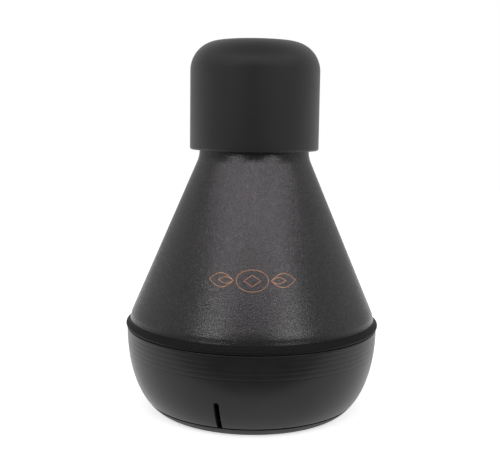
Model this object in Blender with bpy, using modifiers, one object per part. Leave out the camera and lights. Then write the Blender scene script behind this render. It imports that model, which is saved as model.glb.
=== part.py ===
"""Trombone practice mute, built as an assembly of separate pieces.

The mute stands on its wide end, with the axis of every turned piece on Z and the floor at Z = 0.
Lengths are in metres. The front of the mute faces -Y.

From the foot up: a foot disc, a soft base bowl with a plug, a spun cone with its neck, and a soft
cap over the neck. Inside, an air tube hangs from a bush in the neck. Its lower end is
cross-drilled, closed by a plug and wrapped in a foam sleeve. Felt lines the cone and the base.
"""

import math

import bmesh
import bpy
from mathutils import Matrix

# Clearances
SEAT_GAP = 0.0003            # between pieces that rest on or touch each other
SLIDE_GAP = 0.0003           # between pieces that pull apart

# Facets round the axis
LARGE_SEGMENTS = 48
SMALL_SEGMENTS = 28
HOLE_SEGMENTS = 8
SLOT_SEGMENTS = 16

# Cone shell: spun sheet, with the neck in one piece
RIM_RADIUS = 0.0700          # widest circle of the whole mute
RIM_HEIGHT = 0.0476          # height of that circle above the floor
RIM_ROLL_RADIUS = 0.0012     # rounding of the folded rim
RIM_HEM = 0.0040             # thickness of the folded rim
RIM_BAND_HEIGHT = 0.0060     # from the widest circle up to the crease where the cone begins
RIM_BAND_FLARE = 0.00302     # from the crease out to the widest circle
BAND_PULL_DEPTH = 0.0024     # the band curves towards a point this far inside the widest circle
BAND_PULL_HEIGHT = 0.0020    # and this far above it
SHOULDER_HEIGHT = 0.1393     # where the lines of cone and neck meet
SHOULDER_SWEEP = 0.0160      # radius of the soft hollow between them
NECK_RADIUS = 0.0300
NECK_LENGTH = 0.0461
SHEET = 0.0012               # wall of the spun sheet
LIP_ROUND = 0.0004

# Base bowl: outer curve from the rim down to the foot disc
BOWL_STEP = 0.0006           # the bowl's top stands back this far under the rim
BOWL_WALL = 0.0035
BOWL_FLOOR = 0.0030
BOWL_SIDE_PULL = 0.0345      # how far the side stays upright before it curves in
BOWL_FOOT_PULL = 0.0036      # how far the curve runs level into the foot
FOOT_TUCK = 0.0184           # from the widest circle in to the edge of the flat foot face
GROOVE_COUNT = 5
GROOVE_PITCH = 0.00255
GROOVE_WIDTH = 0.0009
GROOVE_DEPTH = 0.00045
FIRST_GROOVE_DROP = 0.00225  # from the bowl's shoulder down to the first groove
SHOULDER_ROUND = 0.0005

# Plug of the base bowl, inside the shell's mouth
PLUG_HEIGHT = 0.0118
PLUG_WALL = 0.0061           # at its foot
PLUG_GROOVE_WIDTH = 0.0012
PLUG_GROOVE_DEPTH = 0.0007
LEDGE_DROP = 0.0050          # inside, from the shoulder down to where the plug's bore ends

# Vent slot in the bowl
SLOT_WIDTH = 0.0028
SLOT_TOP_HEIGHT = 0.0207
SLOT_BEARING = math.radians(-15.0)   # from the front, towards -X
SLOT_REACH = 0.0080          # how far the slot reaches in from the outside at the foot
SLOT_OVERRUN = 0.0100        # cutter's length outside the bowl

# Foot disc
FOOT_DISC_THICKNESS = 0.0049

# Base pad and support ring
PAD_MARGIN = 0.0086          # from the edge of the foot face in to the pad's edge
PAD_THICKNESS = 0.0030
SUPPORT_WALL = 0.0016
SUPPORT_DEPTH = 0.0100
SUPPORT_FLANGE = 0.0012      # thickness of the flange on the plug's top
SUPPORT_FLANGE_REACH = 0.0020

# End cap
CAP_WALL = 0.00495
CAP_TOP_THICKNESS = 0.0140
CAP_LIFT = 0.0037            # from the cone's shoulder up to the cap's lower rim
CAP_CORNER_RADIUS = 0.0160
CAP_CROWN = 0.0005           # rise of the top between its rounded corner and the port
CAP_RIM_ROUND = 0.0013
PORT_RADIUS = 0.0110
PORT_ROUND = 0.0020

# Inlet bush
BUSH_FLANGE = 0.0020
BUSH_SKIRT_LENGTH = 0.0180
BUSH_SKIRT_WALL = 0.0045
BUSH_WEB = 0.0030
BUSH_HUB_WALL = 0.0035
BUSH_HUB_LENGTH = 0.0140

# O-ring round the bush
O_RING_WIRE_RADIUS = 0.0011
O_RING_DEPTH = 0.0120        # from the neck's lip down to the ring
O_RING_WIRE_SIDES = 8

# Air tube
TUBE_RADIUS = 0.0090
TUBE_WALL = 0.0010
TUBE_LENGTH = 0.1200
TUBE_FLANGE_REACH = 0.0017
TUBE_FLANGE = 0.0010
TUBE_HOLE_RADIUS = 0.0012
TUBE_HOLE_ROWS = 3
TUBE_HOLE_PITCH = 0.0080
TUBE_FIRST_HOLE_RISE = 0.0140   # from the tube's lower end up to the first row

# Rings pushed onto the tube
TUBE_RING_WALL = 0.0035
TUBE_RING_THICKNESS = 0.0015

# Damper sleeve and end plug
SLEEVE_WALL = 0.0075
SLEEVE_LENGTH = 0.0400
END_PLUG_STEM = 0.0080
END_PLUG_FLANGE = 0.0030
END_PLUG_REACH = 0.0070      # how far its flange stands out from the tube

# Cone liner
LINER_FELT = 0.0030
LINER_FOOT_RISE = 0.0060     # from the plug's top up to the liner's lower edge
LINER_TOP_DROP = 0.0080      # from the cone's shoulder down to the liner's upper edge

# Places worked out from the sizes above
BOWL_TOP_RADIUS = RIM_RADIUS - BOWL_STEP
FOOT_FACE_RADIUS = RIM_RADIUS - FOOT_TUCK
PAD_RADIUS = FOOT_FACE_RADIUS - PAD_MARGIN
CREASE_HEIGHT = RIM_HEIGHT + RIM_BAND_HEIGHT
CREASE_RADIUS = RIM_RADIUS - RIM_BAND_FLARE
CONE_SLOPE = (CREASE_RADIUS - NECK_RADIUS) / (SHOULDER_HEIGHT - CREASE_HEIGHT)
CONE_HALF_ANGLE = math.atan(CONE_SLOPE)
CONE_STRETCH = math.hypot(1.0, CONE_SLOPE)
SHEET_ACROSS = SHEET * CONE_STRETCH
NECK_BORE_RADIUS = NECK_RADIUS - SHEET
NECK_TOP = SHOULDER_HEIGHT + NECK_LENGTH
RIM_BOTTOM = RIM_HEIGHT - RIM_ROLL_RADIUS
RIM_BORE_RADIUS = RIM_RADIUS - RIM_HEM
PLUG_BORE_RADIUS = RIM_BORE_RADIUS - SLIDE_GAP - PLUG_WALL
BORE_CORNER = SHOULDER_HEIGHT - (RIM_BORE_RADIUS + SHEET_ACROSS - NECK_RADIUS) / CONE_SLOPE
BOWL_SHOULDER = RIM_BOTTOM - SEAT_GAP
PLUG_TOP = BOWL_SHOULDER + PLUG_HEIGHT
BOWL_UNDERSIDE = FOOT_DISC_THICKNESS + SEAT_GAP
BOWL_FLOOR_TOP = BOWL_UNDERSIDE + BOWL_FLOOR
CAP_BORE_RADIUS = NECK_RADIUS + SLIDE_GAP
CAP_RADIUS = CAP_BORE_RADIUS + CAP_WALL
CAP_BOTTOM = SHOULDER_HEIGHT + CAP_LIFT
BUSH_FLANGE_BOTTOM = NECK_TOP + SEAT_GAP
BUSH_TOP = BUSH_FLANGE_BOTTOM + BUSH_FLANGE
CAP_CEILING = BUSH_TOP + SLIDE_GAP
CAP_TOP = CAP_CEILING + CAP_TOP_THICKNESS
TUBE_BORE_RADIUS = TUBE_RADIUS - TUBE_WALL
TUBE_BOTTOM = BUSH_TOP - TUBE_LENGTH
TUBE_FLANGE_RADIUS = TUBE_RADIUS + TUBE_FLANGE_REACH
HUB_BORE_RADIUS = TUBE_RADIUS + SEAT_GAP
HUB_BOTTOM = BUSH_FLANGE_BOTTOM - BUSH_HUB_LENGTH
END_PLUG_TOP = TUBE_BOTTOM - SEAT_GAP


def clear_scene():
    for old in list(bpy.data.objects):
        bpy.data.objects.remove(old, do_unlink=True)


def make_collection(name):
    collection = bpy.data.collections.new(name)
    bpy.context.scene.collection.children.link(collection)
    return collection


def make_material(name, colour, roughness, metallic=0.0):
    material = bpy.data.materials.new(name)
    material.use_nodes = True
    shader = material.node_tree.nodes["Principled BSDF"]
    shader.inputs["Base Color"].default_value = (*colour, 1.0)
    shader.inputs["Roughness"].default_value = roughness
    shader.inputs["Metallic"].default_value = metallic
    material.diffuse_color = (*colour, 1.0)
    return material


def arc(centre, radius, start, end, steps):
    """Points on an arc in the radius-height plane, angles in degrees from +radius towards +Z."""
    points = []
    for step in range(steps + 1):
        angle = math.radians(start + (end - start) * step / steps)
        points.append((centre[0] + radius * math.cos(angle), centre[1] + radius * math.sin(angle)))
    return points


def bend(start, control, end, steps):
    """Inner points of the curve from start to end that leans towards the control point."""
    points = []
    for step in range(1, steps):
        t = step / steps
        s = 1.0 - t
        weights = (s * s, 2.0 * s * t, t * t)
        corners = (start, control, end)
        points.append(tuple(
            sum(weight * corner[axis] for weight, corner in zip(weights, corners))
            for axis in (0, 1)
        ))
    return points


def turned(name, profile, material, collection, segments=LARGE_SEGMENTS, closed=True):
    """A turned piece. The profile runs down its outer side, and a closed one is off the axis."""
    count = len(profile)
    edges = [(index, index + 1) for index in range(count - 1)]
    if closed:
        edges.append((count - 1, 0))
    mesh = bpy.data.meshes.new(name)
    mesh.from_pydata([(radius, 0.0, height) for radius, height in profile], edges, [])
    mesh.materials.append(material)
    piece = bpy.data.objects.new(name, mesh)
    collection.objects.link(piece)
    screw = piece.modifiers.new("Turn", "SCREW")
    screw.axis = "Z"
    screw.angle = math.tau
    screw.steps = segments
    screw.render_steps = segments
    screw.use_merge_vertices = True
    screw.merge_threshold = 0.00001
    screw.use_smooth_shade = True
    return piece


def make_cutter(name, shape, collection):
    mesh = bpy.data.meshes.new(name)
    shape.to_mesh(mesh)
    shape.free()
    piece = bpy.data.objects.new(name, mesh)
    piece.hide_render = True
    piece.display_type = "WIRE"
    collection.objects.link(piece)
    return piece


def lying_cylinder(radius, length, segments):
    """A cylinder along Y, centred on the origin."""
    shape = bmesh.new()
    bmesh.ops.create_cone(
        shape,
        cap_ends=True,
        segments=segments,
        radius1=radius,
        radius2=radius,
        depth=length,
        matrix=Matrix.Rotation(math.radians(90.0), 4, "X"),
    )
    return shape


def cut(piece, tool):
    boolean = piece.modifiers.new(tool.name, "BOOLEAN")
    boolean.operation = "DIFFERENCE"
    boolean.solver = "EXACT"
    boolean.object = tool


def cone_radius(height):
    """Outer radius of the straight cone at a height."""
    return NECK_RADIUS + (SHOULDER_HEIGHT - height) * CONE_SLOPE


def shell_bore_radius(height):
    """Inner radius of the shell from its mouth up to the shoulder."""
    return min(RIM_BORE_RADIUS, cone_radius(height) - SHEET_ACROSS)


def bowl_curve(t):
    """Outer side of the bowl and foot disc, from the shoulder at 0 to the foot face at 1."""
    points = (
        (BOWL_TOP_RADIUS, BOWL_SHOULDER),
        (BOWL_TOP_RADIUS, BOWL_SHOULDER - BOWL_SIDE_PULL),
        (FOOT_FACE_RADIUS + BOWL_FOOT_PULL, 0.0),
        (FOOT_FACE_RADIUS, 0.0),
    )
    s = 1.0 - t
    weights = (s ** 3, 3.0 * s * s * t, 3.0 * s * t * t, t ** 3)
    radius = sum(weight * point[0] for weight, point in zip(weights, points))
    height = sum(weight * point[1] for weight, point in zip(weights, points))
    return radius, height


def bowl_parameter(height):
    """The place along the bowl's curve that has this height, found by halving."""
    low, high = 0.0, 1.0
    for _ in range(50):
        middle = (low + high) / 2.0
        if bowl_curve(middle)[1] > height:
            low = middle
        else:
            high = middle
    return (low + high) / 2.0


def bowl_radius(height):
    return bowl_curve(bowl_parameter(height))[0]


def bowl_stretch(upper, lower, steps):
    """Points down the bowl's outer curve between two heights, both ends included."""
    start = bowl_parameter(upper)
    end = bowl_parameter(lower)
    return [bowl_curve(start + (end - start) * step / steps) for step in range(steps + 1)]


def groove(radius_at, height, width, depth):
    """A V-groove in a side whose radius at each height is given."""
    return [
        (radius_at(height + width / 2.0), height + width / 2.0),
        (radius_at(height) - depth, height),
        (radius_at(height - width / 2.0), height - width / 2.0),
    ]


def build_cone_shell(parts, material):
    crease = (CREASE_RADIUS, CREASE_HEIGHT)
    pull = (RIM_RADIUS - BAND_PULL_DEPTH, RIM_HEIGHT + BAND_PULL_HEIGHT)
    roll = arc((RIM_RADIUS - RIM_ROLL_RADIUS, RIM_HEIGHT), RIM_ROLL_RADIUS, 60.0, -90.0, 6)
    sweep_top = SHOULDER_HEIGHT + SHOULDER_SWEEP * math.tan(CONE_HALF_ANGLE / 2.0)
    sweep_centre = (NECK_RADIUS + SHOULDER_SWEEP, sweep_top)
    sweep_end = 180.0 + math.degrees(CONE_HALF_ANGLE)
    profile = [
        (NECK_RADIUS - LIP_ROUND, NECK_TOP),
        (NECK_RADIUS, NECK_TOP - LIP_ROUND),
    ]
    profile += arc(sweep_centre, SHOULDER_SWEEP, 180.0, sweep_end, 4)
    profile.append(crease)
    profile += bend(crease, pull, roll[0], 5)
    profile += roll
    profile += [
        (RIM_BORE_RADIUS + LIP_ROUND, RIM_BOTTOM),
        (RIM_BORE_RADIUS, RIM_BOTTOM + LIP_ROUND),
        (RIM_BORE_RADIUS, BORE_CORNER),
        (NECK_BORE_RADIUS, SHOULDER_HEIGHT - (SHEET_ACROSS - SHEET) / CONE_SLOPE),
        (NECK_BORE_RADIUS, NECK_TOP - LIP_ROUND),
        (NECK_BORE_RADIUS + LIP_ROUND, NECK_TOP),
    ]
    return turned("cone_shell", profile, material, parts)


def plug_radius(height):
    """Outer radius of the bowl's plug, one clearance inside the shell."""
    straight = RIM_BORE_RADIUS - SLIDE_GAP
    return min(straight, cone_radius(height) - SHEET_ACROSS - SLIDE_GAP * CONE_STRETCH)


def build_base_bowl(parts, cutters, material):
    plug_corner = BORE_CORNER - SLIDE_GAP * (CONE_STRETCH - 1.0) / CONE_SLOPE
    profile = [(plug_radius(PLUG_TOP), PLUG_TOP)]
    profile += groove(
        plug_radius, (PLUG_TOP + plug_corner) / 2.0, PLUG_GROOVE_WIDTH, PLUG_GROOVE_DEPTH
    )
    profile += [
        (plug_radius(plug_corner), plug_corner),
        (plug_radius(BOWL_SHOULDER), BOWL_SHOULDER),
        (BOWL_TOP_RADIUS - SHOULDER_ROUND, BOWL_SHOULDER),
        (BOWL_TOP_RADIUS, BOWL_SHOULDER - SHOULDER_ROUND),
    ]
    for index in range(GROOVE_COUNT):
        height = BOWL_SHOULDER - FIRST_GROOVE_DROP - GROOVE_PITCH * index
        profile += groove(bowl_radius, height, GROOVE_WIDTH, GROOVE_DEPTH)
    profile += bowl_stretch(height - GROOVE_WIDTH / 2.0, BOWL_UNDERSIDE, 9)[1:]
    profile += [(0.0, BOWL_UNDERSIDE), (0.0, BOWL_FLOOR_TOP)]
    ledge = BOWL_SHOULDER - LEDGE_DROP
    inside = bowl_stretch(ledge - BOWL_WALL, BOWL_FLOOR_TOP + BOWL_FLOOR, 6)
    profile.append((inside[-1][0] - BOWL_WALL - BOWL_FLOOR, BOWL_FLOOR_TOP))
    profile += [(radius - BOWL_WALL, height) for radius, height in reversed(inside)]
    profile += [(PLUG_BORE_RADIUS, ledge), (PLUG_BORE_RADIUS, PLUG_TOP)]
    axis_start = profile.index((0.0, BOWL_FLOOR_TOP))
    profile = profile[axis_start:] + profile[:axis_start]
    bowl = turned("base_bowl", profile, material, parts, closed=False)

    inner_end = bowl_radius(BOWL_UNDERSIDE) - SLOT_REACH
    length = bowl_radius(SLOT_TOP_HEIGHT) + SLOT_OVERRUN - inner_end
    shape = lying_cylinder(SLOT_WIDTH / 2.0, length, SLOT_SEGMENTS)
    for vertex in shape.verts:
        if vertex.co.z < 0.0:
            vertex.co.z -= SLOT_TOP_HEIGHT
    slot = make_cutter("slot_cutter", shape, cutters)
    centre = inner_end + length / 2.0
    slot.location = (
        centre * math.sin(SLOT_BEARING),
        -centre * math.cos(SLOT_BEARING),
        SLOT_TOP_HEIGHT - SLOT_WIDTH / 2.0,
    )
    slot.rotation_euler = (0.0, 0.0, SLOT_BEARING)
    cut(bowl, slot)
    return bowl


def build_foot_disc(parts, material):
    profile = [(0.0, FOOT_DISC_THICKNESS)]
    profile += bowl_stretch(FOOT_DISC_THICKNESS, 0.0, 5)
    profile.append((0.0, 0.0))
    return turned("foot_disc", profile, material, parts, closed=False)


def build_base_pad(parts, material):
    bottom = BOWL_FLOOR_TOP + SEAT_GAP
    top = bottom + PAD_THICKNESS
    profile = [(0.0, top), (PAD_RADIUS, top), (PAD_RADIUS, bottom), (0.0, bottom)]
    return turned("base_pad", profile, material, parts, closed=False)


def build_base_support_ring(parts, material):
    radius = PLUG_BORE_RADIUS - SEAT_GAP
    bore = radius - SUPPORT_WALL
    flange_bottom = PLUG_TOP + SEAT_GAP
    flange_top = flange_bottom + SUPPORT_FLANGE
    profile = [
        (PLUG_BORE_RADIUS + SUPPORT_FLANGE_REACH, flange_top),
        (PLUG_BORE_RADIUS + SUPPORT_FLANGE_REACH, flange_bottom),
        (radius, flange_bottom),
        (radius, flange_bottom - SUPPORT_DEPTH),
        (bore, flange_bottom - SUPPORT_DEPTH),
        (bore, flange_top),
    ]
    return turned("base_support_ring", profile, material, parts)


def build_end_cap(parts, material):
    corner_top = CAP_TOP - CAP_CROWN
    corner = (CAP_RADIUS - CAP_CORNER_RADIUS, corner_top - CAP_CORNER_RADIUS)
    profile = arc((PORT_RADIUS + PORT_ROUND, CAP_TOP - PORT_ROUND), PORT_ROUND, 180.0, 90.0, 3)
    profile += arc(corner, CAP_CORNER_RADIUS, 90.0, 0.0, 9)
    lower_edge = (CAP_RADIUS - CAP_RIM_ROUND, CAP_BOTTOM + CAP_RIM_ROUND)
    profile += arc(lower_edge, CAP_RIM_ROUND, 0.0, -90.0, 3)
    profile += [
        (CAP_BORE_RADIUS, CAP_BOTTOM),
        (CAP_BORE_RADIUS, CAP_CEILING),
        (PORT_RADIUS, CAP_CEILING),
    ]
    cap = turned("end_cap", profile, material, parts)
    return cap


def build_inlet_bush(parts, material):
    skirt = NECK_BORE_RADIUS - SEAT_GAP
    skirt_bottom = BUSH_FLANGE_BOTTOM - BUSH_SKIRT_LENGTH
    groove_floor = skirt - 2.0 * O_RING_WIRE_RADIUS - SEAT_GAP
    groove_half = O_RING_WIRE_RADIUS + SEAT_GAP
    ring_height = NECK_TOP - O_RING_DEPTH
    hub = HUB_BORE_RADIUS + BUSH_HUB_WALL
    recess = TUBE_FLANGE_RADIUS + SEAT_GAP
    recess_floor = BUSH_TOP - TUBE_FLANGE - SEAT_GAP
    profile = [
        (NECK_RADIUS, BUSH_TOP),
        (NECK_RADIUS, BUSH_FLANGE_BOTTOM),
        (skirt, BUSH_FLANGE_BOTTOM),
        (skirt, ring_height + groove_half),
        (groove_floor, ring_height + groove_half),
        (groove_floor, ring_height - groove_half),
        (skirt, ring_height - groove_half),
        (skirt, skirt_bottom),
        (skirt - BUSH_SKIRT_WALL, skirt_bottom),
        (skirt - BUSH_SKIRT_WALL, BUSH_TOP - BUSH_WEB),
        (hub, BUSH_TOP - BUSH_WEB),
        (hub, HUB_BOTTOM),
        (HUB_BORE_RADIUS, HUB_BOTTOM),
        (HUB_BORE_RADIUS, recess_floor),
        (recess, recess_floor),
        (recess, BUSH_TOP),
    ]
    return turned("inlet_bush", profile, material, parts, SMALL_SEGMENTS)


def build_bush_o_ring(parts, material):
    centre = (NECK_BORE_RADIUS - SEAT_GAP - O_RING_WIRE_RADIUS, NECK_TOP - O_RING_DEPTH)
    turn = 360.0 / O_RING_WIRE_SIDES
    profile = arc(centre, O_RING_WIRE_RADIUS, 90.0, 90.0 - 360.0 + turn, O_RING_WIRE_SIDES - 1)
    return turned("bush_o_ring", profile, material, parts, SMALL_SEGMENTS)


def build_air_tube(parts, cutters, material):
    profile = [
        (TUBE_FLANGE_RADIUS, BUSH_TOP),
        (TUBE_FLANGE_RADIUS, BUSH_TOP - TUBE_FLANGE),
        (TUBE_RADIUS, BUSH_TOP - TUBE_FLANGE),
        (TUBE_RADIUS, TUBE_BOTTOM),
        (TUBE_BORE_RADIUS, TUBE_BOTTOM),
        (TUBE_BORE_RADIUS, BUSH_TOP),
    ]
    tube = turned("air_tube", profile, material, parts, SMALL_SEGMENTS)
    for row in range(TUBE_HOLE_ROWS):
        for side in range(2):
            shape = lying_cylinder(TUBE_HOLE_RADIUS, TUBE_RADIUS * 3.0, HOLE_SEGMENTS)
            drill = make_cutter(f"hole_cutter_{row}_{side}", shape, cutters)
            drill.location.z = TUBE_BOTTOM + TUBE_FIRST_HOLE_RISE + TUBE_HOLE_PITCH * row
            drill.rotation_euler.z = math.radians(90.0 * side + 45.0 * (row % 2))
            cut(tube, drill)
    return tube


def build_sleeve(name, bore, wall, bottom, length, material, parts):
    profile = [
        (bore + wall, bottom + length),
        (bore + wall, bottom),
        (bore, bottom),
        (bore, bottom + length),
    ]
    return turned(name, profile, material, parts, SMALL_SEGMENTS)


def build_tube_end_plug(parts, material):
    stem = TUBE_BORE_RADIUS - SEAT_GAP
    reach = TUBE_RADIUS + END_PLUG_REACH
    profile = [
        (0.0, TUBE_BOTTOM + END_PLUG_STEM),
        (stem, TUBE_BOTTOM + END_PLUG_STEM),
        (stem, END_PLUG_TOP),
        (reach, END_PLUG_TOP),
        (reach, END_PLUG_TOP - END_PLUG_FLANGE),
        (0.0, END_PLUG_TOP - END_PLUG_FLANGE),
    ]
    return turned("tube_end_plug", profile, material, parts, SMALL_SEGMENTS, closed=False)


def build_cone_liner(parts, material):
    top = SHOULDER_HEIGHT - LINER_TOP_DROP
    bottom = PLUG_TOP + LINER_FOOT_RISE
    outside = SHEET_ACROSS + SEAT_GAP * CONE_STRETCH
    inside = outside + LINER_FELT * CONE_STRETCH
    profile = [
        (cone_radius(top) - outside, top),
        (cone_radius(bottom) - outside, bottom),
        (cone_radius(bottom) - inside, bottom),
        (cone_radius(top) - inside, top),
    ]
    return turned("cone_liner", profile, material, parts)


def main():
    clear_scene()
    parts = make_collection("trombone_practice_mute")
    cutters = make_collection("cutters")
    coat = make_material("coated_metal", (0.030, 0.029, 0.031), 0.35, 0.5)
    bowl_rubber = make_material("bowl_rubber", (0.012, 0.012, 0.012), 0.45)
    foot_rubber = make_material("foot_rubber", (0.010, 0.010, 0.010), 0.60)
    cap_rubber = make_material("cap_rubber", (0.014, 0.014, 0.014), 0.55)
    seal_rubber = make_material("seal_rubber", (0.010, 0.010, 0.010), 0.50)
    bush_plastic = make_material("bush_plastic", (0.040, 0.040, 0.042), 0.50)
    ring_plastic = make_material("ring_plastic", (0.060, 0.060, 0.062), 0.50)
    brass = make_material("tube_brass", (0.80, 0.58, 0.28), 0.28, 1.0)
    foam = make_material("sleeve_foam", (0.030, 0.030, 0.032), 0.95)
    felt = make_material("felt", (0.070, 0.070, 0.075), 0.95)

    build_cone_shell(parts, coat)
    build_base_bowl(parts, cutters, bowl_rubber)
    build_foot_disc(parts, foot_rubber)
    build_end_cap(parts, cap_rubber)
    build_inlet_bush(parts, bush_plastic)
    build_bush_o_ring(parts, seal_rubber)
    build_air_tube(parts, cutters, brass)
    upper_ring_bottom = HUB_BOTTOM - SEAT_GAP - TUBE_RING_THICKNESS
    lower_ring_bottom = TUBE_BOTTOM
    sleeve_bottom = lower_ring_bottom + TUBE_RING_THICKNESS + SEAT_GAP
    for name, bottom in (
        ("tube_ring_upper", upper_ring_bottom),
        ("tube_ring_lower", lower_ring_bottom),
    ):
        build_sleeve(
            name, HUB_BORE_RADIUS, TUBE_RING_WALL, bottom, TUBE_RING_THICKNESS, ring_plastic, parts
        )
    build_sleeve(
        "damper_sleeve", HUB_BORE_RADIUS, SLEEVE_WALL, sleeve_bottom, SLEEVE_LENGTH, foam, parts
    )
    build_tube_end_plug(parts, seal_rubber)
    build_cone_liner(parts, felt)
    build_base_pad(parts, felt)
    build_base_support_ring(parts, ring_plastic)


main()
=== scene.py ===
import math

import bpy
from mathutils import Matrix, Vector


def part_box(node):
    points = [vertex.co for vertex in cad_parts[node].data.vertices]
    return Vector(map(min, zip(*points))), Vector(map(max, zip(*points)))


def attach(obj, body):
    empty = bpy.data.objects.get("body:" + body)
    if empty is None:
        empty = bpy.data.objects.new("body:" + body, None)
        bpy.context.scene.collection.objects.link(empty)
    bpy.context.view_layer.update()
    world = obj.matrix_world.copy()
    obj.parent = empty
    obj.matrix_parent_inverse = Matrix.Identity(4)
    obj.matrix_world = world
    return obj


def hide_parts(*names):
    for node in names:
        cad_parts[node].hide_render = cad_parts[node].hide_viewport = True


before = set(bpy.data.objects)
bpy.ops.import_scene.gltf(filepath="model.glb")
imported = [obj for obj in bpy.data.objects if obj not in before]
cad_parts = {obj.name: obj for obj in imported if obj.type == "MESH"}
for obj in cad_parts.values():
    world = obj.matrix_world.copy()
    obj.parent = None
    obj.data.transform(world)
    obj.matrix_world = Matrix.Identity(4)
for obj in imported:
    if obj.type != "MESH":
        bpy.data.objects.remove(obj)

MM = 0.001
WHITE = (1.0, 1.0, 1.0)
SEGMENTS = 192                  # facets round the axis of a turned piece
HALVINGS = 40                   # steps in the search for a radius of the bowl
SHARP_EDGE = math.radians(42.0)     # a steeper bend between two faces stays sharp
FRONT = -math.pi / 2.0          # azimuth of the front, seen from the axis
AXIS_RADIUS = 0.002 * MM        # where a closed face ends, next to the axis

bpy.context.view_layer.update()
SHELL_LOW, SHELL_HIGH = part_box("cone_shell")
BOWL_LOW, BOWL_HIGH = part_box("base_bowl")
_, DISC_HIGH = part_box("foot_disc")
CAP_LOW, CAP_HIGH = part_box("end_cap")
_, BUSH_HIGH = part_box("inlet_bush")

# Shell
RIM_RADIUS = SHELL_HIGH[0]
RIM_BOTTOM = SHELL_LOW[2]
NECK_TOP = SHELL_HIGH[2]
NECK_RADIUS = BUSH_HIGH[0]
SHEET = 1.2 * MM
RIM_ROLL = 1.2 * MM
RIM_HEIGHT = RIM_BOTTOM + RIM_ROLL
RIM_HEM = 4.0 * MM
RIM_BORE = RIM_RADIUS - RIM_HEM
CONE_SLOPE = 0.4315             # what the radius gains for each unit down
CONE_STRETCH = math.hypot(1.0, CONE_SLOPE)
SHOULDER_HEIGHT = NECK_TOP - 46.1 * MM
SHOULDER_SWEEP = 16.0 * MM      # radius of the soft hollow between neck and cone
CREASE_HEIGHT = RIM_HEIGHT + 6.0 * MM
BAND_PULL = (RIM_RADIUS - 2.4 * MM, RIM_HEIGHT + 2.0 * MM)  # steers the curve from crease to roll
# height up to which shade is painted on the rim's band
PAINTED_SHADE_TOP = RIM_HEIGHT + 3.4 * MM
FILLET = 0.5 * MM

# Bowl and foot disc
SEAT_GAP = 0.3 * MM
BOWL_RADIUS = RIM_RADIUS - 0.6 * MM
BOWL_SHOULDER = RIM_BOTTOM - SEAT_GAP
BOWL_TOP = BOWL_HIGH[2]
BOWL_FOOT = BOWL_LOW[2]
BOWL_WALL = 3.5 * MM
BOWL_FLOOR = 3.0 * MM
INNER_CORNER = 3.0 * MM         # slant between the bowl's floor and its wall, inside
PLUG_BORE = 59.6 * MM
LEDGE_DROP = 5.0 * MM           # inside, from the shoulder down to the plug bore's end
DISC_TOP = DISC_HIGH[2]
FOOT_FACE_RADIUS = 51.6 * MM
SIDE_PULL = 34.5 * MM           # this and the next one steer the curve of the bowl's side
FOOT_PULL = 3.6 * MM
GROOVE_COUNT = 5
GROOVE_PITCH = 2.55 * MM
FIRST_GROOVE = BOWL_SHOULDER - 2.25 * MM
GROOVE_DEPTH = 0.06 * MM
GROOVE_HALF = 0.55 * MM
GROOVE_STEPS = 4                # from the lip down to the bottom
SLOT_BEARING = math.radians(-15.0)
SLOT_HALF = 1.4 * MM
SLOT_TOP = 20.7 * MM
SLOT_REACH = 8.0 * MM           # cutter's length inwards from the edge of the foot
SLOT_OVERRUN = 10.0 * MM        # its length outside the bowl

# Cap
CAP_RADIUS = CAP_HIGH[0]
CAP_TOP = CAP_HIGH[2]
CAP_BOTTOM = CAP_LOW[2]
CAP_BORE = NECK_RADIUS + 0.3 * MM
CAP_CORNER = 16.0 * MM
CAP_CROWN = 0.5 * MM            # rise from the rounded corner to the port's lip
CAP_EDGE = 1.3 * MM
CAP_CEILING = BUSH_HIGH[2] + 0.3 * MM
PORT_RADIUS = 11.0 * MM
PORT_ROUND = 2.0 * MM

# Ornament
ORNAMENT_HEIGHT = 80.5 * MM
LINE = 0.32 * MM
LINE_RISE = 0.06 * MM
OVAL = (8.0 * MM, 5.6 * MM)     # half its width and half its height
DIAMOND = (4.2 * MM, 2.9 * MM)
LEAF_ROOT = 9.4 * MM
LEAVES = (                      # tip and half width of a leaf and of the smaller one in it
    (22.0 * MM, 3.6 * MM),
    (17.0 * MM, 1.6 * MM),
)

# Materials
PLUM = (1.0, 0.99, 1.0)         # trace of colour in the coat
PAINTED_SHADE_FADE = (PAINTED_SHADE_TOP - 0.5 * MM, CREASE_HEIGHT + 0.4 * MM)     # from the painted shade, a plain dark coat, to flakes
CLOUD_SCALE = 900.0             # soft unevenness of a coat or a metal
FLAKE_SCALE = 2400.0
SAND_SCALE = 1800.0
PATCHES = 0.15                  # how much lighter and darker the rubber's patches are

# Floor, surroundings and lights
FLOOR_HALF = 1.5
FLOOR_FRONT = -0.10
FLOOR_VALUE = 0.88
FLOOR_GLOW = 0.62
FALL_OFF = (-0.85, 0.50)        # depths between which the surroundings brighten
SURROUND = (0.11, 0.68)         # their strength in front and behind
LIGHT_DISTANCE = 1.0
LIGHT_AIM = 0.10                # height of the point that the lights face
ROSE = (1.0, 0.93, 0.985)
LIGHTS = (                      # azimuth from the front, elevation, width, height, power, colour
    ("soft_box_above", 0.0, 41.4, 0.86, 0.16, 2.25, ROSE),
    ("soft_box_wing_left", -59.0, 41.4, 0.80, 0.16, 1.5, ROSE),
    ("soft_box_wing_right", 59.0, 41.4, 0.80, 0.16, 1.5, ROSE),
    ("soft_box_left", -37.0, 20.0, 0.40, 0.10, 1.05, WHITE),
    ("soft_box_right", 37.0, 20.0, 0.40, 0.10, 1.15, WHITE),
)

# Camera
LENS = 60.37                    # mm, as the sensor's width
SENSOR = 36.0
SHIFT = -0.00625
NEAR_CLIP = 0.01
CAMERA_PLACE = (0.0, -462.64 * MM, 159.83 * MM)
CAMERA_DOWN = math.radians(7.204)
CAMERA_ROLL = math.radians(0.817)


# Shapes

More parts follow.
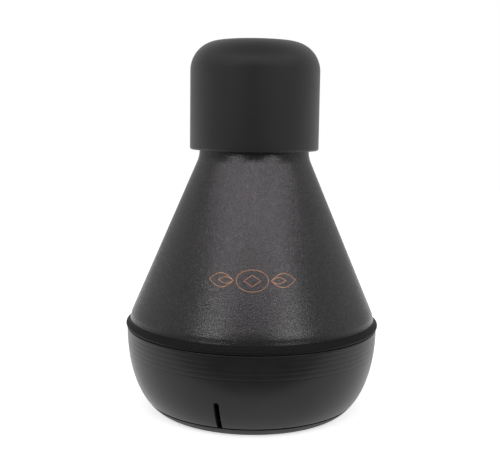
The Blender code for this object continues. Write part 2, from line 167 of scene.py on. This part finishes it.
def arc(centre, radius, start, end, steps):
    """Points on an arc between two angles in degrees, both ends included."""
    points = []
    for step in range(steps + 1):
        angle = math.radians(start + (end - start) * step / steps)
        points.append((centre[0] + radius * math.cos(angle), centre[1] + radius * math.sin(angle)))
    return points


def bezier(corners, t):
    """The point at t on the curve that these corners steer."""
    points = list(corners)
    while len(points) > 1:
        points = [
            tuple(a + (b - a) * t for a, b in zip(first, second))
            for first, second in zip(points, points[1:])
        ]
    return points[0]


def cone_radius(height):
    return NECK_RADIUS + (SHOULDER_HEIGHT - height) * CONE_SLOPE


def cone_height(radius):
    return SHOULDER_HEIGHT - (radius - NECK_RADIUS) / CONE_SLOPE


def bowl_point(t):
    """A point on the bowl's side, from its shoulder down to the foot face."""
    return bezier((
        (BOWL_RADIUS, BOWL_SHOULDER),
        (BOWL_RADIUS, BOWL_SHOULDER - SIDE_PULL),
        (FOOT_FACE_RADIUS + FOOT_PULL, 0.0),
        (FOOT_FACE_RADIUS, 0.0),
    ), t)


def bowl_radius(height):
    """Radius of the bowl's side at a height, found by halving."""
    low, high = 0.0, 1.0
    for _ in range(HALVINGS):
        middle = (low + high) / 2.0
        if bowl_point(middle)[1] > height:
            low = middle
        else:
            high = middle
    return bowl_point(low)[0]


def bowl_side(upper, lower, steps):
    """Points down the bowl's side between two heights, both ends included."""
    heights = [upper + (lower - upper) * step / steps for step in range(steps + 1)]
    return [(bowl_radius(height), height) for height in heights]


def soft_groove(height):
    """A groove with rounded lips in the bowl's side."""
    points = []
    for step in range(-GROOVE_STEPS, GROOVE_STEPS + 1):
        share = step / GROOVE_STEPS
        depth = GROOVE_DEPTH * 0.5 * (1.0 + math.cos(math.pi * share))
        at = height - share * GROOVE_HALF
        points.append((bowl_radius(at) - depth, at))
    return points


def add_piece(name, vertices, faces):
    mesh = bpy.data.meshes.new(name)
    mesh.from_pydata(vertices, [], faces)
    piece = bpy.data.objects.new(name, mesh)
    bpy.context.scene.collection.objects.link(piece)
    return piece


def smooth(mesh):
    mesh.shade_smooth()
    mesh.set_sharp_from_angle(angle=SHARP_EDGE)


def turned(name, profile):
    """A mesh that is turned from a closed profile of radii and heights."""
    vertices = []
    faces = []
    count = len(profile)
    for turn in range(SEGMENTS):
        azimuth = math.tau * turn / SEGMENTS
        for radius, height in profile:
            vertices.append((radius * math.cos(azimuth), radius * math.sin(azimuth), height))
    for turn in range(SEGMENTS):
        here = turn * count
        there = ((turn + 1) % SEGMENTS) * count
        for row in range(count):
            below = (row + 1) % count
            faces.append((here + row, here + below, there + below, there + row))
    piece = add_piece(name, vertices, faces)
    piece.data.validate()
    smooth(piece.data)
    return piece


def dress(piece, material, body, slot, *nodes):
    """Gives a piece its material and places it in the frame."""
    piece.data.materials.clear()
    piece.data.materials.append(material)
    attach(piece, body)
    if nodes:
        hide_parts(*nodes)


# Materials

class Nodes:
    """A small helper round one material's node tree."""

    def __init__(self, name):
        self.material = bpy.data.materials.new(name)
        self.material.use_nodes = True
        self.tree = self.material.node_tree
        self.shader = self.tree.nodes["Principled BSDF"]
        self.place = self.add("ShaderNodeTexCoord").outputs["Object"]

    def add(self, kind, **settings):
        node = self.tree.nodes.new(kind)
        for key, value in settings.items():
            setattr(node, key, value)
        return node

    def link(self, source, target):
        self.tree.links.new(source, target)

    def set(self, name, value):
        """A value that is the same all over the surface."""
        self.shader.inputs[name].default_value = value

    def noise(self, scale, detail=3.0, roughness=0.5):
        node = self.add("ShaderNodeTexNoise")
        node.inputs["Scale"].default_value = scale
        node.inputs["Detail"].default_value = detail
        node.inputs["Roughness"].default_value = roughness
        self.link(self.place, node.inputs["Vector"])
        return node.outputs["Fac"]

    def cells(self, scale):
        """Small cells, each with a value of its own."""
        node = self.add("ShaderNodeTexVoronoi")
        node.inputs["Scale"].default_value = scale
        self.link(self.place, node.inputs["Vector"])
        return node.outputs["Color"]

    def height(self):
        node = self.add("ShaderNodeSeparateXYZ")
        self.link(self.place, node.inputs["Vector"])
        return node.outputs["Z"]

    def span(self, source, low, high, start=0.3, end=0.7):
        """The source's values from start to end spread over low to high."""
        node = self.add("ShaderNodeMapRange")
        node.inputs["From Min"].default_value = start
        node.inputs["From Max"].default_value = end
        node.inputs["To Min"].default_value = low
        node.inputs["To Max"].default_value = high
        self.link(source, node.inputs["Value"])
        return node.outputs["Result"]

    def colours(self, source, stops):
        node = self.add("ShaderNodeValToRGB")
        ramp = node.color_ramp
        while len(ramp.elements) < len(stops):
            ramp.elements.new(0.5)
        for element, (place, colour) in zip(ramp.elements, stops):
            element.position = place
            element.color = (*colour, 1.0)
        self.link(source, node.inputs["Fac"])
        return node.outputs["Color"]

    def bump(self, source, strength, distance, normal=None):
        node = self.add("ShaderNodeBump")
        node.inputs["Strength"].default_value = strength
        node.inputs["Distance"].default_value = distance
        self.link(source, node.inputs["Height"])
        if normal:
            self.link(normal, node.inputs["Normal"])
        return node.outputs["Normal"]

    def finish(self, colour, roughness, normal):
        self.link(colour, self.shader.inputs["Base Color"])
        self.link(roughness, self.shader.inputs["Roughness"])
        self.link(normal, self.shader.inputs["Normal"])
        return self.material


def shade(value, tint=WHITE):
    return tuple(value * part for part in tint)


def coated_metal():
    """Satin black coat with fine metal flakes and a sandy grain, with shade painted in where the band
    begins: darker and less metallic.
    """
    nodes = Nodes("coated_metal")
    cloud = nodes.noise(CLOUD_SCALE, detail=4.0)
    colour = nodes.colours(nodes.cells(FLAKE_SCALE), (
        (0.0, shade(0.048, PLUM)), (0.62, shade(0.056, PLUM)), (0.92, shade(0.100, PLUM)),
    ))
    roughness = nodes.span(cloud, 0.22, 0.29)
    grain = nodes.bump(nodes.noise(SAND_SCALE, detail=1.0), 1.0, 0.10 * MM)
    normal = nodes.bump(cloud, 0.25, 0.04 * MM, grain)
    # painted shade: towards the rim's band the coat turns dark and less metallic
    painted_shade_fade = nodes.span(nodes.height(), 0.0, 1.0, *PAINTED_SHADE_FADE)
    painted_shade_blend = nodes.add("ShaderNodeMix", data_type="RGBA")
    nodes.link(painted_shade_fade, painted_shade_blend.inputs["Factor"])
    painted_shade_blend.inputs["A"].default_value = (*shade(0.012, PLUM), 1.0)
    nodes.link(colour, painted_shade_blend.inputs["B"])
    metal = nodes.span(painted_shade_fade, 0.05, 0.55, 0.0, 1.0)
    nodes.link(metal, nodes.shader.inputs["Metallic"])
    nodes.set("Specular Tint", (0.5, 0.5, 0.5, 1.0))
    return nodes.finish(painted_shade_blend.outputs["Result"], roughness, normal)


def painted_shade_band():
    """The rolled rim with its shade painted in: a dark, duller coat."""
    nodes = Nodes("painted_shade_band")
    cloud = nodes.noise(CLOUD_SCALE, detail=4.0)
    colour = nodes.colours(cloud, ((0.3, shade(0.008)), (0.7, shade(0.013))))
    nodes.set("Specular IOR Level", 0.08)
    return nodes.finish(colour, nodes.span(cloud, 0.48, 0.60), nodes.bump(cloud, 0.15, 0.03 * MM))


def rubber(name, value, roughness, skin_scale, skin_depth, gloss=0.5, sheen=0.0):
    """Moulded rubber: faint cloudiness, a fine skin and slight patches in its gloss."""
    nodes = Nodes(name)
    cloud = nodes.noise(55.0, detail=4.0)
    skin = nodes.noise(skin_scale, detail=5.0, roughness=0.6)
    colour = nodes.colours(cloud, (
        (0.30, shade(value * (1.0 - PATCHES))), (0.70, shade(value * (1.0 + PATCHES))),
    ))
    nodes.set("Specular IOR Level", gloss)
    nodes.set("Sheen Weight", sheen)
    return nodes.finish(colour, nodes.span(cloud, *roughness), nodes.bump(skin, 0.25, skin_depth))


def copper():
    nodes = Nodes("copper_line")
    cloud = nodes.noise(CLOUD_SCALE)
    colour = nodes.colours(cloud, ((0.3, (0.30, 0.160, 0.080)), (0.7, (0.40, 0.21, 0.11))))
    nodes.set("Metallic", 0.8)
    return nodes.finish(colour, nodes.span(cloud, 0.30, 0.42), nodes.bump(cloud, 0.2, 0.02 * MM))


def brass():
    nodes = Nodes("drawn_brass")
    streaks = nodes.noise(1200.0, detail=2.0)
    colour = nodes.colours(streaks, ((0.3, (0.62, 0.42, 0.17)), (0.7, (0.78, 0.56, 0.26))))
    nodes.set("Metallic", 1.0)
    return nodes.finish(colour, nodes.span(streaks, 0.22, 0.38), nodes.bump(streaks, 0.15, 0.02 * MM))


def plastic():
    nodes = Nodes("moulded_plastic")
    skin = nodes.noise(1600.0)
    colour = nodes.colours(skin, ((0.3, shade(0.030)), (0.7, shade(0.045))))
    return nodes.finish(colour, nodes.span(skin, 0.42, 0.56), nodes.bump(skin, 0.3, 0.03 * MM))


def felt(name, value, scale):
    nodes = Nodes(name)
    fibres = nodes.noise(scale, detail=6.0, roughness=0.7)
    colour = nodes.colours(fibres, ((0.3, shade(value * 0.6)), (0.7, shade(value * 1.3))))
    nodes.set("Sheen Weight", 0.3)
    return nodes.finish(colour, nodes.span(fibres, 0.85, 1.0), nodes.bump(fibres, 0.8, 0.25 * MM))


def paper():
    """White paper that glows a little, so that its far edge doesn't show."""
    nodes = Nodes("studio_paper")
    cloud = nodes.noise(6.0)
    colour = nodes.colours(cloud, ((0.3, shade(FLOOR_VALUE * 0.99)), (0.7, shade(FLOOR_VALUE))))
    nodes.set("Emission Color", (*WHITE, 1.0))
    nodes.set("Emission Strength", FLOOR_GLOW)
    return nodes.finish(colour, nodes.span(cloud, 0.80, 0.85), nodes.bump(cloud, 0.05, 0.05 * MM))


# Shell

def neck_and_cone():
    """The outer side from the neck's mouth down to just above the crease."""
    steps = 24
    half_angle = math.atan(CONE_SLOPE)
    sweep_top = SHOULDER_HEIGHT + SHOULDER_SWEEP * math.tan(half_angle / 2.0)
    sweep_end = 180.0 + math.degrees(half_angle)
    profile = arc((NECK_RADIUS - FILLET, NECK_TOP - FILLET), FILLET, 90.0, 0.0, steps=4)
    profile += arc((NECK_RADIUS + SHOULDER_SWEEP, sweep_top), SHOULDER_SWEEP, 180.0, sweep_end, steps=16)
    top = profile[-1][1]
    for step in range(1, steps):
        height = top + (CREASE_HEIGHT - top) * step / steps
        profile.append((cone_radius(height), height))
    return profile


def band_and_roll():
    """The hollow band below the crease, and the rolled rim."""
    steps = 12
    crease = (cone_radius(CREASE_HEIGHT), CREASE_HEIGHT)
    roll = arc((RIM_RADIUS - RIM_ROLL, RIM_HEIGHT), RIM_ROLL, 60.0, -90.0, steps=14)
    return [bezier((crease, BAND_PULL, roll[0]), step / steps) for step in range(steps)] + roll


def shell_profile():
    neck_bore = NECK_RADIUS - SHEET
    return neck_and_cone() + band_and_roll() + [
        (RIM_BORE + FILLET, RIM_BOTTOM),
        (RIM_BORE, RIM_BOTTOM + FILLET),
        (RIM_BORE, cone_height(RIM_BORE + SHEET * CONE_STRETCH)),
        (neck_bore, SHOULDER_HEIGHT),
        (neck_bore, NECK_TOP - FILLET),
    ]


def build_shell():
    shell = turned("cone_shell_spun", shell_profile())
    dress(shell, coated_metal(), "shell", "shell_coat", "cone_shell")
    # second material: painted shade on the outside of the rim's band
    shell.data.materials.append(painted_shade_band())
    for face in shell.data.polygons:
        outside = math.hypot(face.center.x, face.center.y) > RIM_BORE + FILLET
        if outside and face.center.z < PAINTED_SHADE_TOP:
            face.material_index = 1


# Bowl and disc

def bowl_outside():
    """From the plug's mouth over the shoulder and the grooves down to the middle of the foot."""
    plug_radius = RIM_BORE - SEAT_GAP
    inset = (SHEET + SEAT_GAP) * CONE_STRETCH
    profile = [
        (PLUG_BORE, BOWL_TOP),
        (cone_radius(BOWL_TOP) - inset, BOWL_TOP),
        (plug_radius, cone_height(plug_radius + inset)),
        (plug_radius, BOWL_SHOULDER),
    ]
    profile += arc((BOWL_RADIUS - FILLET, BOWL_SHOULDER - FILLET), FILLET, 90.0, 0.0, steps=5)
    for index in range(GROOVE_COUNT):
        profile += soft_groove(FIRST_GROOVE - GROOVE_PITCH * index)
    last_lip = FIRST_GROOVE - GROOVE_PITCH * (GROOVE_COUNT - 1) - GROOVE_HALF
    profile += bowl_side(last_lip, BOWL_FOOT + FILLET, steps=60)[1:]
    profile.append((bowl_radius(BOWL_FOOT) - FILLET, BOWL_FOOT))
    profile.append((AXIS_RADIUS, BOWL_FOOT))
    return profile


def bowl_inside():
    """From the middle of the floor up the wall to the end of the plug's bore."""
    floor_top = BOWL_FOOT + BOWL_FLOOR
    ledge = BOWL_SHOULDER - LEDGE_DROP
    wall = bowl_side(ledge - BOWL_WALL, floor_top + INNER_CORNER, steps=16)
    profile = [(AXIS_RADIUS, floor_top), (wall[-1][0] - BOWL_WALL - INNER_CORNER, floor_top)]
    profile += [(radius - BOWL_WALL, height) for radius, height in reversed(wall)]
    profile.append((PLUG_BORE, ledge))
    return profile


def slot_cutter():
    """A bar with a round top that reaches through the bowl's wall and foot."""
    inner_end = bowl_radius(BOWL_FOOT) - SLOT_REACH
    outer_end = BOWL_RADIUS + SLOT_OVERRUN
    outline = arc((0.0, SLOT_TOP - SLOT_HALF), SLOT_HALF, 0.0, 180.0, steps=24)
    outline += [(-SLOT_HALF, -SLOT_HALF), (SLOT_HALF, -SLOT_HALF)]
    vertices = [(across, -inner_end, height) for across, height in outline]
    vertices += [(across, -outer_end, height) for across, height in outline]
    count = len(outline)
    faces = [tuple(reversed(range(count))), tuple(range(count, 2 * count))]
    for index in range(count):
        following = (index + 1) % count
        faces.append((index, following, following + count, index + count))
    cutter = add_piece("slot_cutter", vertices, faces)
    cutter.rotation_euler.z = SLOT_BEARING
    return cutter


def cut(piece, cutter):
    """Takes the cutter's form out of the piece, and the cutter out of the scene."""
    boolean = piece.modifiers.new("Slot", "BOOLEAN")
    boolean.operation = "DIFFERENCE"
    boolean.solver = "EXACT"
    boolean.object = cutter
    bpy.context.view_layer.update()
    depsgraph = bpy.context.evaluated_depsgraph_get()
    result = bpy.data.meshes.new_from_object(piece.evaluated_get(depsgraph))
    piece.modifiers.clear()
    piece.data = result
    bpy.data.objects.remove(cutter, do_unlink=True)
    smooth(result)


def build_bowl():
    bowl = turned("base_bowl_moulded", bowl_outside() + bowl_inside())
    cut(bowl, slot_cutter())
    material = rubber("bowl_rubber", 0.019, (0.28, 0.36), 900.0, 0.010 * MM, gloss=0.21)
    dress(bowl, material, "base", "bowl_rubber", "base_bowl")


def build_disc():
    profile = [(AXIS_RADIUS, DISC_TOP), (bowl_radius(DISC_TOP) - FILLET, DISC_TOP)]
    profile += bowl_side(DISC_TOP - FILLET * 0.5, 0.0, steps=24)
    profile.append((AXIS_RADIUS, 0.0))
    disc = turned("foot_disc_moulded", profile)
    material = rubber("disc_rubber", 0.011, (0.50, 0.60), 900.0, 0.020 * MM, gloss=0.30)
    dress(disc, material, "base", "foot_rubber", "foot_disc")


# Cap

def cap_profile():
    """From the port's bore over the top and down the side, then up the bore for the neck."""
    steps = 10
    side_top = CAP_TOP - CAP_CROWN - CAP_CORNER
    side_foot = CAP_BOTTOM + CAP_EDGE
    profile = arc((PORT_RADIUS + PORT_ROUND, CAP_TOP - PORT_ROUND), PORT_ROUND, 180.0, 90.0, steps=10)
    profile += arc((CAP_RADIUS - CAP_CORNER, side_top), CAP_CORNER, 90.0, 0.0, steps=32)
    for step in range(1, steps):
        profile.append((CAP_RADIUS, side_top + (side_foot - side_top) * step / steps))
    profile += arc((CAP_RADIUS - CAP_EDGE, side_foot), CAP_EDGE, 0.0, -90.0, steps=10)
    profile += [(CAP_BORE, CAP_BOTTOM), (CAP_BORE, CAP_CEILING), (PORT_RADIUS, CAP_CEILING)]
    return profile


def build_cap():
    cap = turned("end_cap_moulded", cap_profile())
    material = rubber("cap_rubber", 0.0095, (0.50, 0.60), 1200.0, 0.015 * MM, gloss=0.40, sheen=0.18)
    dress(cap, material, "cap", "cap_rubber", "end_cap")


# Ornament: an oval of line with a diamond in it, and on each side a leaf with a smaller one in it

def on_cone(across, up):
    """A point on the cone from its place on the unrolled front, just proud of the coat."""
    height = ORNAMENT_HEIGHT + up / CONE_STRETCH
    radius = cone_radius(height)
    azimuth = FRONT + across / radius
    out = radius + LINE_RISE
    return out * math.cos(azimuth), out * math.sin(azimuth), height


def ribbon(path, closed):
    """Both edges of a flat line of even width along a path on the unrolled cone."""
    left, right = [], []
    count = len(path)
    for index, (x, y) in enumerate(path):
        before = path[index - 1] if closed or index else path[0]
        after = path[(index + 1) % count] if closed or index < count - 1 else path[-1]
        run, rise = after[0] - before[0], after[1] - before[1]
        length = math.hypot(run, rise)
        side = (-rise / length * LINE / 2.0, run / length * LINE / 2.0)
        left.append((x + side[0], y + side[1]))
        right.append((x - side[0], y - side[1]))
    return left, right


def oval_path():
    steps = 48
    turns = [math.tau * step / steps for step in range(steps)]
    return [(OVAL[0] * math.cos(turn), OVAL[1] * math.sin(turn)) for turn in turns]


def diamond_path():
    steps = 8
    wide, high = DIAMOND
    corners = [(wide, 0.0), (0.0, high), (-wide, 0.0), (0.0, -high)]
    path = []
    for corner, following in zip(corners, corners[1:] + corners[:1]):
        for step in range(steps):
            share = step / steps
            path.append(tuple(a + (b - a) * share for a, b in zip(corner, following)))
    return path


def leaf_edge(side, tip, swell):
    """The upper edge of a leaf, from its root out to its tip."""
    steps = 28
    path = []
    for step in range(steps + 1):
        share = step / steps
        across = side * (LEAF_ROOT + (tip - LEAF_ROOT) * share)
        path.append((across, swell * math.sin(math.pi * share)))
    return path


def ornament_paths():
    """Each line of the ornament, and whether its ends meet."""
    paths = [(oval_path(), True), (diamond_path(), True)]
    for side in (-1.0, 1.0):
        for tip, swell in LEAVES:
            upper = leaf_edge(side, tip, swell)
            paths.append((upper, False))
            paths.append(([(x, -y) for x, y in upper], False))
    return paths


def build_ornament():
    vertices, faces = [], []
    for path, closed in ornament_paths():
        left, right = ribbon(path, closed)
        start = len(vertices)
        count = len(path)
        for a, b in zip(left, right):
            vertices.append(on_cone(*a))
            vertices.append(on_cone(*b))
        for index in range(count if closed else count - 1):
            here = start + 2 * index
            there = start + 2 * ((index + 1) % count)
            faces.append((here, here + 1, there + 1, there))
    piece = add_piece("cone_ornament", vertices, faces)
    piece.data.shade_smooth()
    dress(piece, copper(), "shell", "shell_coat")


# Pieces that keep their plain solids

def dress_inside():
    moulded = plastic()
    seal = rubber("seal_rubber", 0.014, (0.40, 0.50), 1200.0, 0.020 * MM)
    for node, material in (
        ("inlet_bush", moulded),
        ("tube_ring_upper", moulded),
        ("tube_ring_lower", moulded),
        ("base_support_ring", moulded),
        ("bush_o_ring", seal),
        ("tube_end_plug", seal),
        ("air_tube", brass()),
        ("damper_sleeve", felt("sleeve_foam", 0.035, 1400.0)),
        ("cone_liner", felt("liner_felt", 0.080, 2200.0)),
        ("base_pad", felt("pad_felt", 0.075, 2200.0)),
    ):
        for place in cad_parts[node].material_slots:
            place.material = material


# Stage, light and camera

def build_floor():
    front, half = FLOOR_FRONT, FLOOR_HALF
    corners = [(-half, front, 0.0), (half, front, 0.0), (half, half, 0.0), (-half, half, 0.0)]
    floor = add_piece("studio_floor", corners, [(0, 1, 2, 3)])
    floor.data.materials.append(paper())


def soft_box(name, azimuth, elevation, width, height, power, colour):
    """An area light that faces the middle of the mute."""
    light = bpy.data.lights.new(name, "AREA")
    light.shape = "RECTANGLE"
    light.size = width
    light.size_y = height
    light.energy = power
    light.color = colour
    lamp = bpy.data.objects.new(name, light)
    bpy.context.scene.collection.objects.link(lamp)
    turn, rise = math.radians(azimuth), math.radians(elevation)
    away = LIGHT_DISTANCE * math.cos(rise)
    lamp.location = (
        math.sin(turn) * away, -math.cos(turn) * away, LIGHT_AIM + LIGHT_DISTANCE * math.sin(rise),
    )
    lamp.rotation_euler = (math.radians(90.0) - rise, 0.0, turn)


def build_world():
    """White to the camera, and to the lighting white behind and grey towards the front."""
    world = bpy.data.worlds.new("studio")
    bpy.context.scene.world = world
    world.use_nodes = True
    tree = world.node_tree
    tree.nodes.clear()
    place = tree.nodes.new("ShaderNodeTexCoord")
    split = tree.nodes.new("ShaderNodeSeparateXYZ")
    tree.links.new(place.outputs["Generated"], split.inputs["Vector"])
    depth = tree.nodes.new("ShaderNodeMapRange")
    depth.inputs["From Min"].default_value = FALL_OFF[0]
    depth.inputs["From Max"].default_value = FALL_OFF[1]
    depth.inputs["To Min"].default_value = SURROUND[0]
    depth.inputs["To Max"].default_value = SURROUND[1]
    tree.links.new(split.outputs["Y"], depth.inputs["Value"])
    surround = tree.nodes.new("ShaderNodeBackground")
    tree.links.new(depth.outputs["Result"], surround.inputs["Strength"])
    seen = tree.nodes.new("ShaderNodeBackground")
    seen.inputs["Strength"].default_value = 1.0
    for node in (surround, seen):
        node.inputs["Color"].default_value = (*WHITE, 1.0)
    path = tree.nodes.new("ShaderNodeLightPath")
    mix = tree.nodes.new("ShaderNodeMixShader")
    tree.links.new(path.outputs["Is Camera Ray"], mix.inputs["Fac"])
    tree.links.new(surround.outputs["Background"], mix.inputs[1])
    tree.links.new(seen.outputs["Background"], mix.inputs[2])
    output = tree.nodes.new("ShaderNodeOutputWorld")
    tree.links.new(mix.outputs["Shader"], output.inputs["Surface"])


def build_camera():
    data = bpy.data.cameras.new("camera")
    data.lens = LENS
    data.sensor_width = SENSOR
    data.shift_x = SHIFT
    data.clip_start = NEAR_CLIP
    camera = bpy.data.objects.new("camera", data)
    bpy.context.scene.collection.objects.link(camera)
    camera.matrix_world = (
        Matrix.Translation(CAMERA_PLACE)
        @ Matrix.Rotation(math.radians(90.0) - CAMERA_DOWN, 4, "X")
        @ Matrix.Rotation(CAMERA_ROLL, 4, "Z")
    )
    bpy.context.scene.camera = camera


build_camera()
build_world()
for settings in LIGHTS:
    soft_box(*settings)
build_floor()
build_shell()
build_bowl()
build_disc()
build_cap()
build_ornament()
dress_inside()
bpy.context.scene.view_settings.view_transform = "Standard"
